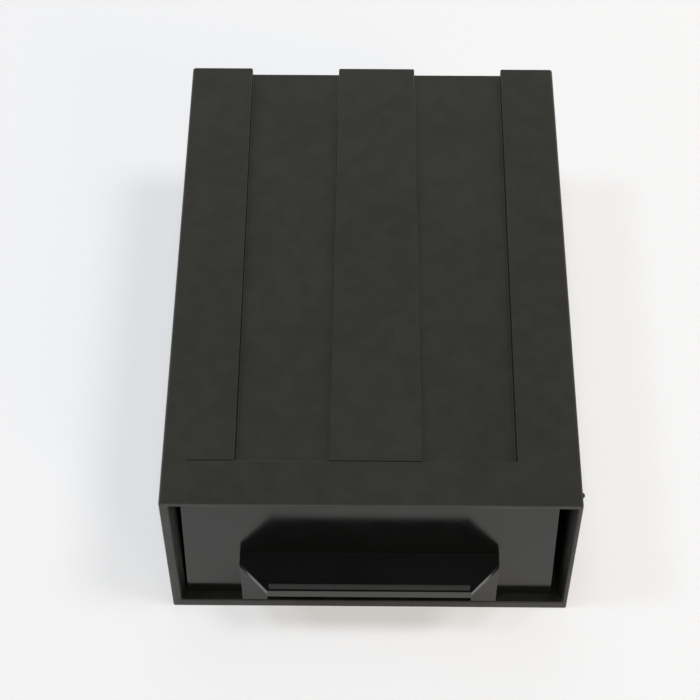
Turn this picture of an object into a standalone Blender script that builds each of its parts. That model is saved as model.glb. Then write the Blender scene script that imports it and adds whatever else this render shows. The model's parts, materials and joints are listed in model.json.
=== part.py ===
"""Component drawer box: a low moulded case with raised strips on its top, and one drawer that slides out."""

import math

import bmesh
import bpy
from mathutils import Vector

MM = 0.001

# Case: outer size, walls and floor. X is to the right, Y to the rear, Z up; the front face is at Y = 0
case_width = 110.0 * MM
case_depth = 157.0 * MM
case_height = 54.0 * MM
case_wall = 2.7 * MM
case_side_wall = 3.1 * MM
case_floor_top = 3.3 * MM
case_edge_round = 0.4 * MM
case_shoulder_round = 0.9 * MM
case_shoulder_facets = 3
underside_recess = 1.5 * MM
underside_skirt = 3.0 * MM
mouth_side_flare = 1.5 * MM
mouth_top_flare = 0.8 * MM
mouth_flare_depth = 2.5 * MM
inside_offset = 0.65 * MM

# Case top: two channels between three strips, closed by the front band and open at the rear
band_depth = 13.5 * MM
channel_depth = 2.7 * MM
left_strip_width = 19.2 * MM
middle_strip_width = 24.7 * MM
right_strip_width = 16.7 * MM
channel_taper = 0.85 * MM
seam_width = 0.35 * MM
seam_depth = 0.2 * MM
seam_margin = 6.5 * MM

# Small round nub on the right side wall, just under the top edge
nub_radius = 0.8 * MM
nub_out = 0.6 * MM
nub_from_front = 4.0 * MM
nub_below_top = 1.4 * MM
nub_sides = 16
nub_rings = 10

# Guide rails inside the case, along the foot of each side wall
rail_height = 4.0 * MM
rail_start = 15.0 * MM
rail_clearance = 0.4 * MM

# Drawer tray and front panel; the panel is thinnest and narrowest at its top, and wider than the tray
panel_setback = 2.85 * MM
panel_lean = 1.25 * MM
panel_top_thickness = 1.6 * MM
panel_top_clearance = 0.6 * MM
panel_foot_side = 1.4 * MM
panel_top_side = 0.5 * MM
drawer_side_gap = 2.7 * MM
drawer_offset = -0.2 * MM
drawer_rest_gap = 0.3 * MM
drawer_rear_gap = 1.0 * MM
tray_wall = 1.6 * MM
tray_floor = 1.6 * MM
tray_top_clearance = 2.6 * MM
tray_inner_round = 3.0 * MM
tray_corner_round = 1.0 * MM
drawer_edge_round = 0.28 * MM

# Drawer stop: a tab on the tray's rear wall meets a nib under the case's middle strip
stop_from_front = 27.4 * MM
stop_tab_width = 12.0 * MM
stop_tab_clearance = 1.7 * MM
stop_nib_width = 15.0 * MM
stop_nib_thickness = 2.0 * MM
stop_overlap = 1.8 * MM

# Pull: a plate that stands out from the panel on two cheeks, with a lip, a narrow ledge and a grip rib
pull_top = 23.5 * MM
pull_width = 70.4 * MM
pull_plate = 1.8 * MM
lip_width = 54.9 * MM
lip_reach = 8.45 * MM
lip_height = 2.9 * MM
lip_ledge = 0.65 * MM
rib_thickness = 1.4 * MM
rib_slant = 0.66 * MM
rib_rise = 1.1 * MM
rib_end_inset = 0.4 * MM
cheek_width = 6.9 * MM
cheek_lift = 0.3 * MM

# Dividers and their slots on the tray's side walls
slot_places_shares = (1 / 6, 2 / 6, 3 / 6, 4 / 6, 5 / 6)
divider_places_shares = {"divider_front": 2 / 6, "divider_rear": 4 / 6}
divider_thickness = 1.4 * MM
divider_clearance = 0.3 * MM
divider_bead = 2.6 * MM
divider_bead_height = 2.4 * MM
divider_below_rim = 1.2 * MM
slot_rib_out = 1.0 * MM
slot_rib_width = 1.0 * MM

# How far a cutter runs past a face, and how far a piece that is joined on sinks into its carrier
overrun = 2.0 * MM
sink = 0.5 * MM

# How edges are rounded: those that turn by more than this angle, in this many steps
edge_angle = math.radians(35)
edge_steps = 2
tray_corner_steps = 3
tray_inner_steps = 4
round_profile = 0.5

# Sizes that follow
half_width = case_width / 2
inner_half_width = half_width - case_side_wall
inner_left = inside_offset - inner_half_width
inner_right = inside_offset + inner_half_width
band_ceiling = case_height - case_wall
channel_floor = case_height - channel_depth
channel_ceiling = channel_floor - case_wall
inner_rear = case_depth - case_wall
middle_strip_left = -half_width + (case_width + left_strip_width - middle_strip_width - right_strip_width) / 2
middle_strip_right = middle_strip_left + middle_strip_width
channels = (
    (-half_width + left_strip_width, middle_strip_left),
    (middle_strip_right, half_width - right_strip_width),
)
middle_strip_centre = (middle_strip_left + middle_strip_right) / 2

drawer_half_width = inner_half_width - drawer_side_gap
drawer_bottom = case_floor_top + drawer_rest_gap
tray_rim = channel_ceiling - tray_top_clearance
tray_rear = inner_rear - drawer_rear_gap
tray_inner_floor = drawer_bottom + tray_floor
tray_inner_front = panel_setback + panel_lean + panel_top_thickness
tray_inner_rear = tray_rear - tray_wall
tray_inner_half_width = drawer_half_width - tray_wall
tray_inner_length = tray_inner_rear - tray_inner_front
panel_top = band_ceiling - panel_top_clearance

stop_tab_top = band_ceiling - stop_tab_clearance
stop_nib_bottom = stop_tab_top - stop_overlap

lip_front = -lip_reach
rib_front = lip_front + lip_ledge
rib_rear = rib_front + rib_thickness
lip_bottom = pull_top - lip_height

whole_front = lip_front
whole_centre_y = (whole_front + case_depth) / 2


def clear_scene():
    """Removes what the scene holds."""
    for found in list(bpy.data.objects):
        bpy.data.objects.remove(found, do_unlink=True)


def plastic(name, colour, roughness):
    """A plain moulded plastic."""
    material = bpy.data.materials.new(name)
    material.use_nodes = True
    shader = material.node_tree.nodes["Principled BSDF"]
    shader.inputs["Base Color"].default_value = (*colour, 1.0)
    shader.inputs["Roughness"].default_value = roughness
    shader.inputs["Metallic"].default_value = 0.0
    return material


def new_object(name, mesh, parent, material=None):
    """Puts a mesh in the scene under a parent that carries it."""
    made = bpy.data.objects.new(name, mesh)
    bpy.context.collection.objects.link(made)
    made.parent = parent
    if material:
        mesh.materials.append(material)
    return made


def new_empty(name, place, drawn_at, parent=None):
    """An empty that carries pieces; drawn_at is its own place as seen from the case's front."""
    made = bpy.data.objects.new(name, None)
    bpy.context.collection.objects.link(made)
    made.empty_display_size = case_wall
    made.location = place
    made.parent = parent
    made["drawn_at"] = drawn_at
    return made


def loft(mesh_data, rings):
    """Adds a closed solid through rings of points, with flat ends."""
    rows = [[mesh_data.verts.new(point) for point in ring] for ring in rings]
    count = len(rows[0])
    for lower, upper in zip(rows, rows[1:]):
        for i in range(count):
            j = (i + 1) % count
            mesh_data.faces.new((lower[i], lower[j], upper[j], upper[i]))
    mesh_data.faces.new(list(reversed(rows[0])))
    mesh_data.faces.new(rows[-1])


def box(mesh_data, low, high):
    """Adds a box between two corners."""
    ring = [(low[0], low[1]), (high[0], low[1]), (high[0], high[1]), (low[0], high[1])]
    loft(mesh_data, [[(x, y, z) for x, y in ring] for z in (low[2], high[2])])


def plan_prism(mesh_data, outline, bottom, top):
    """Adds an upright prism over an outline in plan."""
    loft(mesh_data, [[(x, y, z) for x, y in outline] for z in (bottom, top)])


def front_prism(mesh_data, outline, front, rear):
    """Adds a prism that runs from front to rear, over an outline seen from the front."""
    loft(mesh_data, [[(x, y, z) for x, z in outline] for y in (front, rear)])


def solid(name, shapes, parent, material=None):
    """Makes one object from functions that add shapes, drawn from the case's front, to its mesh."""
    mesh_data = bmesh.new()
    for shape in shapes:
        shape(mesh_data)
    bmesh.ops.recalc_face_normals(mesh_data, faces=mesh_data.faces)
    bmesh.ops.translate(mesh_data, verts=mesh_data.verts, vec=-Vector(parent["drawn_at"]))
    mesh = bpy.data.meshes.new(name)
    mesh_data.to_mesh(mesh)
    mesh_data.free()
    return new_object(name, mesh, parent, material)


def combine(carrier, helper, operation):
    """Cuts a helper from its carrier, or joins it on."""
    helper.hide_render = True
    helper.display_type = "WIRE"
    modifier = carrier.modifiers.new(helper.name, "BOOLEAN")
    modifier.operation = operation
    modifier.solver = "EXACT"
    modifier.object = helper


def round_edges(carrier, width):
    """Rounds every edge where the faces of a part, or of a shape that joins one, turn a corner."""
    modifier = carrier.modifiers.new("edge_round", "BEVEL")
    modifier.width = width
    modifier.segments = edge_steps
    modifier.limit_method = "ANGLE"
    modifier.angle_limit = edge_angle


def channel_outline(left, right):
    """The plan of one channel, which widens towards the rear."""
    rear = case_depth + overrun
    return [
        (left, band_depth),
        (right, band_depth),
        (right + channel_taper, rear),
        (left - channel_taper, rear),
    ]


def cut_channels(mesh_data):
    """The two channels between the strips."""
    for left, right in channels:
        plan_prism(mesh_data, channel_outline(left, right), channel_floor, case_height + overrun)


def ceiling_outline():
    """The case's inside behind the front band: low under each channel, high under each strip."""
    outline = [(inner_left, case_floor_top), (inner_right, case_floor_top), (inner_right, band_ceiling)]
    beside = channel_taper + case_wall
    for left, right in reversed(channels):
        outline += [
            (right + beside, band_ceiling),
            (right + beside, channel_ceiling),
            (left - beside, channel_ceiling),
            (left - beside, band_ceiling),
        ]
    return outline + [(inner_left, band_ceiling)]


def cut_inside(mesh_data):
    """The case's inside behind the front band."""
    front_prism(mesh_data, ceiling_outline(), band_depth - case_wall - sink, inner_rear)


def cut_mouth(mesh_data):
    """The inside of the front band, which flares at the mouth but not along the sill."""
    rings = []
    for y, side_flare, top_flare in (
        (-overrun, mouth_side_flare, mouth_top_flare),
        (0, mouth_side_flare, mouth_top_flare),
        (mouth_flare_depth, 0, 0),
        (band_depth - case_wall, 0, 0),
    ):
        left = inner_left - side_flare
        right = inner_right + side_flare
        top = band_ceiling + top_flare
        rings.append([(left, y, case_floor_top), (right, y, case_floor_top), (right, y, top), (left, y, top)])
    loft(mesh_data, rings)


def cut_underside(mesh_data):
    """The shallow recess inside the skirt that the case stands on."""
    side = half_width - underside_skirt
    box(mesh_data, (-side, underside_skirt, -overrun), (side, case_depth - underside_skirt, underside_recess))


def cut_seam(mesh_data):
    """The fine seam between the front band and the ends of the left and middle strips."""
    spans = (
        (seam_margin - half_width, channels[0][0] + sink),
        (middle_strip_left - sink, middle_strip_right + sink),
    )
    for start, end in spans:
        low = (start, band_depth - seam_width, case_height - seam_depth)
        box(mesh_data, low, (end, band_depth, case_height + overrun))


def add_rails(mesh_data):
    """The rails that guide the drawer's sides."""
    reach = drawer_half_width + rail_clearance
    spans = ((inner_left - sink, drawer_offset - reach), (drawer_offset + reach, inner_right + sink))
    for start, end in spans:
        low = (start, rail_start, case_floor_top - sink)
        box(mesh_data, low, (end, inner_rear + sink, case_floor_top + rail_height))


def add_stop_nib(mesh_data):
    """The nib under the middle strip, with a ramp that the tab rides over when the drawer goes in."""
    half = stop_nib_width / 2
    rear = stop_from_front
    front = rear - stop_nib_thickness
    root = band_ceiling + sink
    ramp = front - (band_ceiling - stop_nib_bottom)
    outline = [(front, stop_nib_bottom), (rear, stop_nib_bottom), (rear, root), (ramp, root)]
    loft(mesh_data, [[(x + middle_strip_centre, y, z) for y, z in outline] for x in (-half, half)])


def add_nub(mesh_data):
    """The small round nub on the right side."""
    place = (half_width + nub_out - nub_radius, nub_from_front, case_height - nub_below_top)
    made = bmesh.ops.create_uvsphere(mesh_data, u_segments=nub_sides, v_segments=nub_rings, radius=nub_radius)
    bmesh.ops.translate(mesh_data, verts=made["verts"], vec=place)


def block_outline():
    """The case's outer shape seen from the front, with the two long edges of its top rounded."""
    right_shoulder = []
    for step in range(case_shoulder_facets + 1):
        turn = math.pi / 2 * step / case_shoulder_facets
        x = half_width - case_shoulder_round * (1 - math.cos(turn))
        z = case_height - case_shoulder_round * (1 - math.sin(turn))
        right_shoulder.append((x, z))
    left_shoulder = [(-x, z) for x, z in reversed(right_shoulder)]
    return [(-half_width, 0), (half_width, 0)] + right_shoulder + left_shoulder


def add_block(mesh_data):
    """The case's block, before it is hollowed."""
    front_prism(mesh_data, block_outline(), 0, case_depth)


def build_case(parent, material):
    """The case, one moulding."""
    case = solid("case", [add_block], parent, material)
    combine(case, solid("cut_channels", [cut_channels], parent), "DIFFERENCE")
    combine(case, solid("cut_inside", [cut_inside], parent), "DIFFERENCE")
    combine(case, solid("cut_mouth", [cut_mouth], parent), "DIFFERENCE")
    combine(case, solid("cut_underside", [cut_underside], parent), "DIFFERENCE")
    combine(case, solid("join_inside", [add_rails, add_stop_nib], parent), "UNION")
    round_edges(case, case_edge_round)
    combine(case, solid("cut_seam", [cut_seam], parent), "DIFFERENCE")
    combine(case, solid("join_nub", [add_nub], parent), "UNION")


def add_tray(mesh_data):
    """The tray's block, as wide and as long as the drawer behind its panel."""
    low = (-drawer_half_width, tray_inner_front - sink, drawer_bottom)
    box(mesh_data, low, (drawer_half_width, tray_rear, tray_rim))


def add_panel(mesh_data):
    """The front panel, taller than the tray, with its front leaning back and its sides leaning in."""
    rings = []
    for side, front, z in (
        (panel_foot_side, panel_setback, drawer_bottom),
        (panel_top_side, panel_setback + panel_lean, panel_top),
    ):
        wide = drawer_half_width + side
        rear = tray_inner_front
        rings.append([(-wide, front, z), (wide, front, z), (wide, rear, z), (-wide, rear, z)])
    loft(mesh_data, rings)


def add_stop_tab(mesh_data):
    """The tab on top of the tray's rear wall."""
    half = stop_tab_width / 2
    low = (middle_strip_centre - half, tray_inner_rear, tray_rim - sink)
    box(mesh_data, low, (middle_strip_centre + half, tray_rear, stop_tab_top))


def round_off(mesh_data, edges, radius, steps):
    """Rounds some edges of a mesh that is being made."""
    bmesh.ops.bevel(
        mesh_data, geom=edges, offset=radius, segments=steps, profile=round_profile, affect="EDGES"
    )


def cut_tray(mesh_data):
    """The inside of the tray, with its lower edges rounded so that small parts slide out."""
    low = (-tray_inner_half_width, tray_inner_front, tray_inner_floor)
    box(mesh_data, low, (tray_inner_half_width, tray_inner_rear, tray_rim + overrun))

    def height(edge):
        return abs(edge.verts[0].co.z - edge.verts[1].co.z)

    def lies_on_floor(edge):
        return all(abs(vert.co.z - tray_inner_floor) < sink for vert in edge.verts)

    upright = [edge for edge in mesh_data.edges if height(edge) > tray_inner_round]
    round_off(mesh_data, upright, tray_corner_round, tray_corner_steps)
    lower = [edge for edge in mesh_data.edges if lies_on_floor(edge)]
    round_off(mesh_data, lower, tray_inner_round, tray_inner_steps)


def slot_place(share):
    """The middle of a divider slot, from the case's front."""
    return tray_inner_front + tray_inner_length * share


def add_slot_ribs(mesh_data):
    """Pairs of ribs on both side walls, each pair a slot for a divider."""
    reach = divider_thickness / 2 + divider_clearance
    inner = tray_inner_half_width - slot_rib_out
    outer = tray_inner_half_width + sink
    foot = tray_inner_floor - sink
    top = tray_rim - divider_below_rim
    for share in slot_places_shares:
        for start, end in ((-reach - slot_rib_width, -reach), (reach, reach + slot_rib_width)):
            front = slot_place(share) + start
            rear = slot_place(share) + end
            for left, right in ((-outer, -inner), (inner, outer)):
                box(mesh_data, (left, front, foot), (right, rear, top))


def pull_outline():
    """The plan of the pull's plate: as wide as its cheeks at the panel, drawn in towards the lip."""
    root = tray_inner_front - sink
    wide = pull_width / 2
    narrow = lip_width / 2
    return [(-wide, root), (-wide, 0), (-narrow, lip_front), (narrow, lip_front), (wide, 0), (wide, root)]


def add_pull_plate(mesh_data):
    """The pull's plate."""
    plan_prism(mesh_data, pull_outline(), pull_top - pull_plate, pull_top)


def add_pull_nose(mesh_data):
    """The thicker nose of the pull, behind its lip."""
    half = lip_width / 2
    box(mesh_data, (-half, lip_front, lip_bottom), (half, rib_rear, pull_top))


def add_rib(mesh_data):
    """The straight grip rib behind the lip's ledge, with a slanted front."""
    half = lip_width / 2 - rib_end_inset
    foot = pull_top - sink
    crest = pull_top + rib_rise
    outline = [
        (rib_front, foot),
        (rib_rear, foot),
        (rib_rear, crest),
        (rib_front + rib_slant, crest),
        (rib_front, pull_top),
    ]
    loft(mesh_data, [[(x, y, z) for y, z in outline] for x in (-half, half)])


def add_cheeks(mesh_data):
    """The cheeks that carry the plate, flush with the case's front."""
    wide = pull_width / 2
    inner = wide - cheek_width
    for left, right in ((-wide, -inner), (inner, wide)):
        low = (left, 0, drawer_bottom + cheek_lift)
        box(mesh_data, low, (right, tray_inner_front - sink, pull_top - sink))


def build_drawer(parent, material):
    """The drawer, one moulding: tray, front panel and pull."""
    drawer = solid("drawer", [add_tray], parent, material)
    combine(drawer, solid("join_panel", [add_panel], parent), "UNION")
    combine(drawer, solid("cut_tray", [cut_tray], parent), "DIFFERENCE")
    combine(drawer, solid("join_stop_tab", [add_stop_tab], parent), "UNION")
    combine(drawer, solid("join_pull_plate", [add_pull_plate], parent), "UNION")
    combine(drawer, solid("join_cheeks", [add_cheeks], parent), "UNION")
    combine(drawer, solid("join_pull_nose", [add_pull_nose], parent), "UNION")
    round_edges(drawer, drawer_edge_round)
    rib = solid("join_rib", [add_rib], parent)
    round_edges(rib, drawer_edge_round)
    combine(drawer, rib, "UNION")
    combine(drawer, solid("join_slot_ribs", [add_slot_ribs], parent), "UNION")


def divider_outline():
    """A divider seen from the front, with its lower corners cut to clear the tray's rounded edge."""
    side = tray_inner_half_width - divider_clearance
    bottom = tray_inner_floor + divider_clearance
    top = tray_rim - divider_below_rim
    corner = tray_inner_round
    return [(-side + corner, bottom), (side - corner, bottom), (side, bottom + corner), (side, top),
            (-side, top), (-side, bottom + corner)]


def build_divider(name, share, parent, material):
    """A loose plate across the tray, with a bead along its top between the slots."""

    def add_plate(mesh_data):
        half = divider_thickness / 2
        front_prism(mesh_data, divider_outline(), slot_place(share) - half, slot_place(share) + half)

    def add_bead(mesh_data):
        half = divider_bead / 2
        side = tray_inner_half_width - slot_rib_out - divider_clearance
        top = tray_rim - divider_below_rim
        low = (-side, slot_place(share) - half, top - divider_bead_height)
        box(mesh_data, low, (side, slot_place(share) + half, top))

    divider = solid(name, [add_plate], parent, material)
    combine(divider, solid("join_bead_" + name, [add_bead], parent), "UNION")
    round_edges(divider, drawer_edge_round)


def build():
    """The whole box, with its middle at the origin and its foot on Z = 0."""
    clear_scene()
    case_plastic = plastic("case_plastic", (0.014, 0.014, 0.013), 0.55)
    drawer_plastic = plastic("drawer_plastic", (0.012, 0.012, 0.0125), 0.25)

    case_front = new_empty("case_front", (0, -whole_centre_y, 0), (0, 0, 0))
    slide_place = Vector((drawer_offset, panel_setback, drawer_bottom))
    drawn_at = slide_place - Vector((drawer_offset, 0, 0))
    drawer_slide = new_empty("drawer_slide", slide_place, drawn_at, case_front)

    build_case(case_front, case_plastic)
    build_drawer(drawer_slide, drawer_plastic)
    for name, share in divider_places_shares.items():
        build_divider(name, share, drawer_slide, drawer_plastic)


build()
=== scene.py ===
"""Component drawer box: its finishes, the pale table it stands on, the light and the camera."""

import json
import math

import bpy
from mathutils import Matrix, Vector

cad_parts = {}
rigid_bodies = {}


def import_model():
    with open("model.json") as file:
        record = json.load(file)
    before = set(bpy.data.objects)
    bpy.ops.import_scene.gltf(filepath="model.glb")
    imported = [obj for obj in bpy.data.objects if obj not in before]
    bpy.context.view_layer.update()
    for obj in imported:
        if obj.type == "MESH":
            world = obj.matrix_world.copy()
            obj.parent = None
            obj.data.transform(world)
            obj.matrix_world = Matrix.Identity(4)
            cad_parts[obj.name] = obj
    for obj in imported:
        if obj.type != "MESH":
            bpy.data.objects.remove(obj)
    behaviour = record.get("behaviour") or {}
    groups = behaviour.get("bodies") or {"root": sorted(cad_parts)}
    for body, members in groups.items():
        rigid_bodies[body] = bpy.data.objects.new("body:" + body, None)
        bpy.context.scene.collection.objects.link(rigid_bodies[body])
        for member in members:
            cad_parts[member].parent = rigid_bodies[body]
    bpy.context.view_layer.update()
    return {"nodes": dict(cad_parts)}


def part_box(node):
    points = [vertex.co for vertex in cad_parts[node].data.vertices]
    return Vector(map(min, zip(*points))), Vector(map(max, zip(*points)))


for found in list(bpy.data.objects):
    bpy.data.objects.remove(found, do_unlink=True)

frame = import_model()

MM = 0.001

# Camera, which looks down at the box from the front
camera_elevation = math.radians(53.433)
camera_azimuth = math.radians(-0.731)
camera_roll = math.radians(-0.221)
camera_distance = 541.57 * MM
camera_aside = -5.5 * MM
camera_above = 72.01 * MM
camera_lens = 99.345
camera_sensor = 36.0
camera_clip_start = 10 * MM

# Table top with painted light: its left colour, darker in painted shade, becomes its right colour, brighter
# and warmer in painted light, within floor_turn of the middle
floor_size = 60.0
floor_left_painted_shade = (0.893, 0.888, 0.896)
floor_right_painted_light = (0.948, 0.930, 0.916)
floor_turn = 150 * MM
floor_roughness = 0.9
floor_specular = 0.1

# Room, with its colours at the horizon, at two heights and straight up, which is a height of 1
horizon_colour = (0.93, 0.93, 0.92)
low_colour = (0.80, 0.80, 0.77)
low_height = 0.57
middle_colour = (0.70, 0.70, 0.65)
middle_height = 0.74
zenith_colour = (0.72, 0.72, 0.68)
world_level = 0.05

# Lamps: azimuth, elevation, level, the angle that the lamp fills, and colour
lamps = {
    "lamp_front": (180, 58, 0.58, 16, (1.0, 0.99, 0.975)),
    "lamp_overhead": (230, 81, 0.11, 12, (0.72, 0.85, 1.0)),
    "lamp_right": (98, 63, 0.155, 18, (1.0, 0.97, 0.95)),
    "lamp_left": (264, 60, 0.073, 10, (0.78, 0.91, 1.0)),
    "lamp_low": (144, 30, 0.045, 18, (1.0, 0.72, 0.42)),
    "lamp_back": (0, 60, 0.065, 46, (0.72, 0.85, 1.0)),
}

# Edges that rub and carry a painted highlight, found where the surface turns within a radius and nothing
# else is near
wear_and_highlight_samples = 4
wear_and_highlight_radius = 0.5 * MM
wear_and_highlight_turn_range = (0.99, 0.85)
wear_and_highlight_open_reach = 2 * MM
wear_and_highlight_open_range = (0.7, 0.95)
wear_and_highlight_patches = {"scale": 90, "detail": 4}
wear_and_highlight_patches_range = (0.42, 0.62)
wear_and_highlight_patches_least = 0.15

# Hairline scratches, drawn out from front to rear
hairlines = {"scale": 2600, "detail": 2, "stretch": (1, 0.01, 1)}
hairlines_range = (0.62, 0.70)
hairline_patches = {"scale": 55, "detail": 3}
hairline_patches_range = (0.50, 0.62)

# Matte plastic of the case
case_dark = (0.0010, 0.0011, 0.0008)
case_light = (0.0075, 0.0072, 0.0056)
case_gloss_tint = (1.0, 0.99, 0.955)
case_cloud = {"scale": 30, "detail": 4}
case_cloud_range = (0.38, 0.62)
case_cloud_share = 0.4
case_blotch = {"scale": 170, "detail": 3, "roughness": 0.6}
case_blotch_range = (0.40, 0.60)
case_blotch_share = 0.6
# Edges painted lighter: partly worn plastic, partly a painted highlight
case_wear_and_highlight_colour = (0.045, 0.045, 0.043)
case_wear_and_highlight_share = 0.35
case_smudge = {"scale": 75, "detail": 5, "roughness": 0.65}
case_smudge_range = (0.35, 0.68)
case_roughness_range = (0.36, 0.47)
case_scratch_roughness = 0.12
case_rubbed_smoothness = 0.10
case_grain = {"scale": 2600, "detail": 2}
case_grain_height = 0.014 * MM
case_scratch_depth = 0.006 * MM
case_wave = {"scale": 22, "detail": 2}
case_wave_height = 0.12 * MM

# Satin plastic of the drawer and the dividers
drawer_dark = (0.0023, 0.0025, 0.0025)
drawer_light = (0.0038, 0.0041, 0.0040)
drawer_gloss_tint = (1.0, 0.985, 0.94)
drawer_gloss_level = 0.44
drawer_cloud = {"scale": 35, "detail": 4}
drawer_cloud_range = (0.35, 0.65)
# Edges painted lighter: partly worn plastic, partly a painted highlight
drawer_wear_and_highlight_colour = (0.055, 0.055, 0.053)
drawer_wear_and_highlight_share = 0.6
drawer_smudge = {"scale": 60, "detail": 5, "roughness": 0.6}
drawer_smudge_range = (0.35, 0.68)
drawer_roughness_range = (0.13, 0.19)
drawer_marks = {"scale": 900, "detail": 3, "roughness": 0.6, "stretch": (1, 0.02, 1)}
drawer_marks_range = (0.55, 0.75)
drawer_marks_roughness = 0.06
drawer_grain = {"scale": 1800, "detail": 2}
drawer_grain_height = 0.004 * MM
drawer_wave = {"scale": 30, "detail": 2}
drawer_wave_height = 0.05 * MM

# Shading of the solids, where edges that turn by more than the sharp angle stay sharp
weld_distance = 0.002 * MM
sharp_angle = math.radians(50)
flat_face_weight = 100

# Colour sockets of a mix node, which come after those for numbers and vectors
mix_colour_inputs = (6, 7)
mix_colour_output = 2


def node(tree, kind, **values):
    """Adds a shader node and sets its own values."""
    made = tree.nodes.new(kind)
    for name, value in values.items():
        setattr(made, name, value)
    return made


def place(tree, scale):
    """The object's own coordinates, stretched along each axis."""
    coordinates = node(tree, "ShaderNodeTexCoord")
    mapping = node(tree, "ShaderNodeMapping")
    mapping.inputs["Scale"].default_value = scale
    tree.links.new(coordinates.outputs["Object"], mapping.inputs["Vector"])
    return mapping.outputs["Vector"]


def noise(tree, scale, detail, roughness=0.5, stretch=(1, 1, 1)):
    """A noise value from 0 to 1; scale is in cells per metre."""
    made = node(tree, "ShaderNodeTexNoise")
    made.inputs["Scale"].default_value = scale
    made.inputs["Detail"].default_value = detail
    made.inputs["Roughness"].default_value = roughness
    tree.links.new(place(tree, stretch), made.inputs["Vector"])
    return made.outputs["Fac"]


def spread(tree, value, source, target=(0.0, 1.0)):
    """Maps a value from one range to another, held within the second; 0 to 1 makes a mask."""
    made = node(tree, "ShaderNodeMapRange")
    made.inputs["From Min"].default_value, made.inputs["From Max"].default_value = source
    made.inputs["To Min"].default_value, made.inputs["To Max"].default_value = target
    tree.links.new(value, made.inputs["Value"])
    return made.outputs["Result"]


def arithmetic(tree, operation, first, second):
    """A math node on two values, each a socket or a number."""
    made = node(tree, "ShaderNodeMath", operation=operation)
    for value, socket in ((first, made.inputs[0]), (second, made.inputs[1])):
        if isinstance(value, (int, float)):
            socket.default_value = value
        else:
            tree.links.new(value, socket)
    return made.outputs["Value"]


def mixed(tree, factor, first, second):
    """A blend of two colours, each a socket or three numbers."""
    made = node(tree, "ShaderNodeMix", data_type="RGBA")
    tree.links.new(factor, made.inputs["Factor"])
    for value, index in zip((first, second), mix_colour_inputs):
        if isinstance(value, tuple):
            made.inputs[index].default_value = (*value, 1.0)
        else:
            tree.links.new(value, made.inputs[index])
    return made.outputs[mix_colour_output]


def bump(tree, height, distance, below=None):
    """A bump of that height in metres, on top of the one below it."""
    made = node(tree, "ShaderNodeBump")
    made.inputs["Distance"].default_value = distance
    tree.links.new(height, made.inputs["Height"])
    if below:
        tree.links.new(below, made.inputs["Normal"])
    return made.outputs["Normal"]


def new_material(name):
    """A Principled material, with its node tree and its shader."""
    material = bpy.data.materials.new(name)
    material.use_nodes = True
    return material, material.node_tree, material.node_tree.nodes["Principled BSDF"]


def wear_and_highlight_edges(tree):
    """1 along edges that rub and carry a painted highlight, 0 elsewhere, broken up by noise."""
    rounded = node(tree, "ShaderNodeBevel", samples=wear_and_highlight_samples)
    rounded.inputs["Radius"].default_value = wear_and_highlight_radius
    geometry = node(tree, "ShaderNodeNewGeometry")
    turn = node(tree, "ShaderNodeVectorMath", operation="DOT_PRODUCT")
    tree.links.new(rounded.outputs["Normal"], turn.inputs[0])
    tree.links.new(geometry.outputs["Normal"], turn.inputs[1])
    edge = spread(tree, turn.outputs["Value"], wear_and_highlight_turn_range)
    open_around_edge = node(tree, "ShaderNodeAmbientOcclusion", samples=wear_and_highlight_samples)
    open_around_edge.inputs["Distance"].default_value = wear_and_highlight_open_reach
    edge = arithmetic(tree, "MULTIPLY", edge, spread(tree, open_around_edge.outputs["AO"], wear_and_highlight_open_range))
    patches = spread(tree, noise(tree, **wear_and_highlight_patches), wear_and_highlight_patches_range, (wear_and_highlight_patches_least, 1.0))
    return arithmetic(tree, "MULTIPLY", edge, patches)


def scratches(tree):
    """1 along hairlines that run from front to rear, 0 elsewhere, in patches."""
    hairline = spread(tree, noise(tree, **hairlines), hairlines_range)
    patches = spread(tree, noise(tree, **hairline_patches), hairline_patches_range)
    return arithmetic(tree, "MULTIPLY", hairline, patches)


def case_plastic():
    """Matte moulded black: fine grain, blotches and hairline scratches, edges a little lighter from wear
    and a painted highlight.
    """
    material, tree, shader = new_material("case_plastic_look")
    shader.inputs["Specular Tint"].default_value = (*case_gloss_tint, 1.0)
    cloud = spread(tree, noise(tree, **case_cloud), case_cloud_range, (0.0, case_cloud_share))
    blotch = spread(tree, noise(tree, **case_blotch), case_blotch_range, (0.0, case_blotch_share))
    colour = mixed(tree, arithmetic(tree, "ADD", cloud, blotch), case_dark, case_light)
    # Lighter edges, partly wear and partly painted highlight; the same mask makes the edges smoother
    rubbed_and_highlit = wear_and_highlight_edges(tree)
    edge_wear_and_highlight = arithmetic(tree, "MULTIPLY", rubbed_and_highlit, case_wear_and_highlight_share)
    tree.links.new(mixed(tree, edge_wear_and_highlight, colour, case_wear_and_highlight_colour), shader.inputs["Base Color"])
    smudge = spread(tree, noise(tree, **case_smudge), case_smudge_range, case_roughness_range)
    scratched = scratches(tree)
    rougher = arithmetic(tree, "MULTIPLY", scratched, case_scratch_roughness)
    smoother = arithmetic(tree, "MULTIPLY", rubbed_and_highlit, case_rubbed_smoothness)
    roughness = arithmetic(tree, "SUBTRACT", arithmetic(tree, "ADD", smudge, rougher), smoother)
    tree.links.new(roughness, shader.inputs["Roughness"])
    grain = bump(tree, noise(tree, **case_grain), case_grain_height)
    scored = bump(tree, arithmetic(tree, "SUBTRACT", 1, scratched), case_scratch_depth, grain)
    wave = bump(tree, noise(tree, **case_wave), case_wave_height, scored)
    tree.links.new(wave, shader.inputs["Normal"])
    return material


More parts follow.
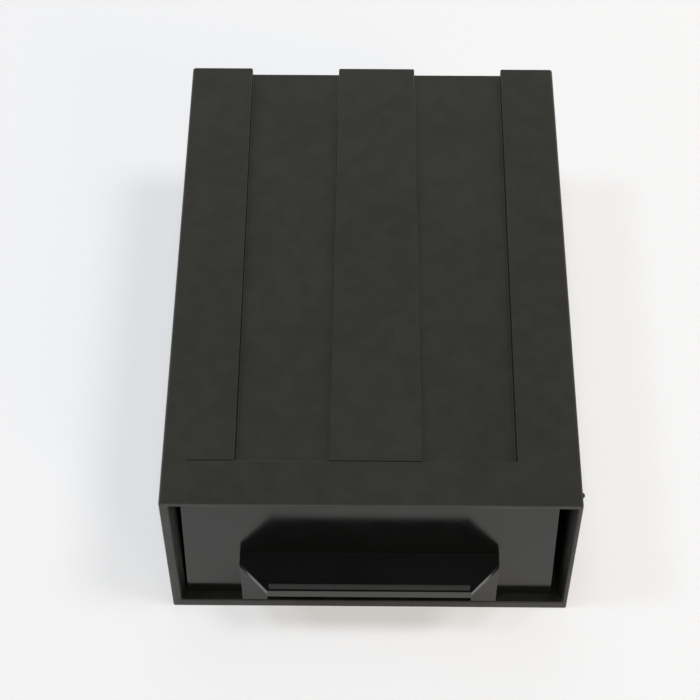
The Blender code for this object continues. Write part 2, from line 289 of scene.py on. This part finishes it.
def drawer_plastic():
    """Satin moulded black: smoother, with faint rubbing marks along the way the drawer slides, and edges a
    little lighter from wear and a painted highlight.
    """
    material, tree, shader = new_material("drawer_plastic_look")
    shader.inputs["Specular IOR Level"].default_value = drawer_gloss_level
    shader.inputs["Specular Tint"].default_value = (*drawer_gloss_tint, 1.0)
    cloud = spread(tree, noise(tree, **drawer_cloud), drawer_cloud_range)
    colour = mixed(tree, cloud, drawer_dark, drawer_light)
    # Lighter edges, partly wear and partly painted highlight
    edge_wear_and_highlight = arithmetic(tree, "MULTIPLY", wear_and_highlight_edges(tree), drawer_wear_and_highlight_share)
    tree.links.new(mixed(tree, edge_wear_and_highlight, colour, drawer_wear_and_highlight_colour), shader.inputs["Base Color"])
    smudge = spread(tree, noise(tree, **drawer_smudge), drawer_smudge_range, drawer_roughness_range)
    marks = spread(tree, noise(tree, **drawer_marks), drawer_marks_range, (0.0, drawer_marks_roughness))
    tree.links.new(arithmetic(tree, "ADD", smudge, marks), shader.inputs["Roughness"])
    grain = bump(tree, noise(tree, **drawer_grain), drawer_grain_height)
    wave = bump(tree, noise(tree, **drawer_wave), drawer_wave_height, grain)
    tree.links.new(wave, shader.inputs["Normal"])
    return material


def rounded_look():
    """A modifier that joins the triangles' corners, shades round stretches smooth and keeps sharp edges."""
    group = bpy.data.node_groups.new("rounded_look", "GeometryNodeTree")
    group.interface.new_socket("Geometry", in_out="INPUT", socket_type="NodeSocketGeometry")
    group.interface.new_socket("Geometry", in_out="OUTPUT", socket_type="NodeSocketGeometry")
    given = node(group, "NodeGroupInput")
    normals = node(group, "GeometryNodeRemoveAttribute")
    normals.inputs["Name"].default_value = "custom_normal"
    weld = node(group, "GeometryNodeMergeByDistance")
    weld.inputs["Distance"].default_value = weld_distance
    smooth = node(group, "GeometryNodeSetShadeSmooth", domain="FACE")
    sharp = node(group, "GeometryNodeSetShadeSmooth", domain="EDGE")
    sharp.inputs["Shade Smooth"].default_value = False
    angle = node(group, "GeometryNodeInputMeshEdgeAngle")
    turned = node(group, "FunctionNodeCompare", data_type="FLOAT", operation="GREATER_THAN")
    turned.inputs["B"].default_value = sharp_angle
    group.links.new(angle.outputs["Unsigned Angle"], turned.inputs["A"])
    group.links.new(turned.outputs["Result"], sharp.inputs["Selection"])
    steps = [given, normals, weld, smooth, sharp, node(group, "NodeGroupOutput")]
    for before, after in zip(steps, steps[1:]):
        group.links.new(before.outputs[0], after.inputs[0])
    return group


def dress_nodes():
    """Gives each CAD node its finish and clean shading."""
    look = rounded_look()
    finishes = {"case": case_plastic(), "drawer": drawer_plastic()}
    for name, part in frame["nodes"].items():
        part.data.materials[0] = finishes["case" if name == "case" else "drawer"]
        part.modifiers.new("rounded_look", "NODES").node_group = look
        flat = part.modifiers.new("flat_faces", "WEIGHTED_NORMAL")
        flat.keep_sharp = True
        flat.weight = flat_face_weight


def build_floor():
    """The pale table top, painted darker on the left and brighter and warmer on the right, as the light
    falls on it.
    """
    mesh = bpy.data.meshes.new("floor")
    half = floor_size / 2
    corners = [(-half, -half, 0), (half, -half, 0), (half, half, 0), (-half, half, 0)]
    mesh.from_pydata(corners, [], [(0, 1, 2, 3)])
    floor = bpy.data.objects.new("floor", mesh)
    bpy.context.scene.collection.objects.link(floor)
    material, tree, shader = new_material("table_top")
    coordinates = node(tree, "ShaderNodeTexCoord")
    split = node(tree, "ShaderNodeSeparateXYZ")
    tree.links.new(coordinates.outputs["Object"], split.inputs["Vector"])
    # Painted light across the table: darker on the left, brighter and warmer on the right
    aside = spread(tree, split.outputs["X"], (-floor_turn, floor_turn))
    tree.links.new(mixed(tree, aside, floor_left_painted_shade, floor_right_painted_light), shader.inputs["Base Color"])
    shader.inputs["Roughness"].default_value = floor_roughness
    shader.inputs["Specular IOR Level"].default_value = floor_specular
    mesh.materials.append(material)


def build_world():
    """A pale room, brighter towards the horizon, that lights surfaces weakly but shows in full in gloss."""
    world = bpy.data.worlds.new("room")
    bpy.context.scene.world = world
    world.use_nodes = True
    tree = world.node_tree
    coordinates = node(tree, "ShaderNodeTexCoord")
    split = node(tree, "ShaderNodeSeparateXYZ")
    ramp = node(tree, "ShaderNodeValToRGB")
    ramp.color_ramp.elements[0].color = (*horizon_colour, 1.0)
    ramp.color_ramp.elements[1].color = (*zenith_colour, 1.0)
    ramp.color_ramp.elements.new(low_height).color = (*low_colour, 1.0)
    ramp.color_ramp.elements.new(middle_height).color = (*middle_colour, 1.0)
    tree.links.new(coordinates.outputs["Generated"], split.inputs["Vector"])
    tree.links.new(split.outputs["Z"], ramp.inputs["Fac"])
    background = tree.nodes["Background"]
    tree.links.new(ramp.outputs["Color"], background.inputs["Color"])
    rays = node(tree, "ShaderNodeLightPath")
    seen = rays.outputs["Is Camera Ray"]
    for kind in ("Is Glossy Ray", "Is Transmission Ray"):
        seen = arithmetic(tree, "MAXIMUM", seen, rays.outputs[kind])
    tree.links.new(spread(tree, seen, (0.0, 1.0), (world_level, 1.0)), background.inputs["Strength"])


def build_lamps():
    """Soft lamps far away, which together stand for one wide light that gloss sees as the room.

    Azimuth 0 is behind the box, 90 on its right and 180 in front of it. A level is the lamp's share of the
    light on the table.
    """
    for name, (azimuth, elevation, level, angle, colour) in lamps.items():
        around = math.radians(azimuth)
        up = math.radians(elevation)
        light = bpy.data.lights.new(name, "SUN")
        light.energy = level * math.pi / math.sin(up)
        light.angle = math.radians(angle)
        light.color = colour
        made = bpy.data.objects.new(name, light)
        made.visible_glossy = False
        bpy.context.scene.collection.objects.link(made)
        towards = Vector((math.sin(around) * math.cos(up), math.cos(around) * math.cos(up), math.sin(up)))
        made.location = towards
        made.rotation_mode = "QUATERNION"
        made.rotation_quaternion = towards.to_track_quat("Z", "Y")


def build_camera():
    """The camera, at the photographed angle.

    The middle of its view is aside of and above the foot of the case's front, as the camera sees it.
    """
    forward = Vector((
        math.sin(camera_azimuth) * math.cos(camera_elevation),
        math.cos(camera_azimuth) * math.cos(camera_elevation),
        -math.sin(camera_elevation),
    ))
    level_right = Vector((math.cos(camera_azimuth), -math.sin(camera_azimuth), 0))
    level_up = level_right.cross(forward)
    right = math.cos(camera_roll) * level_right + math.sin(camera_roll) * level_up
    up = -math.sin(camera_roll) * level_right + math.cos(camera_roll) * level_up
    front_foot = Vector((0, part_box("case")[0].y, 0))
    camera = bpy.data.cameras.new("camera")
    camera.lens = camera_lens
    camera.sensor_width = camera_sensor
    camera.clip_start = camera_clip_start
    made = bpy.data.objects.new("camera", camera)
    bpy.context.scene.collection.objects.link(made)
    turned = Matrix((right, up, -forward)).transposed().to_4x4()
    spot = front_foot + camera_aside * right + camera_above * up - camera_distance * forward
    made.matrix_world = Matrix.Translation(spot) @ turned
    bpy.context.scene.camera = made


dress_nodes()
build_floor()
build_world()
build_lamps()
build_camera()
bpy.context.scene.view_settings.view_transform = "Standard"
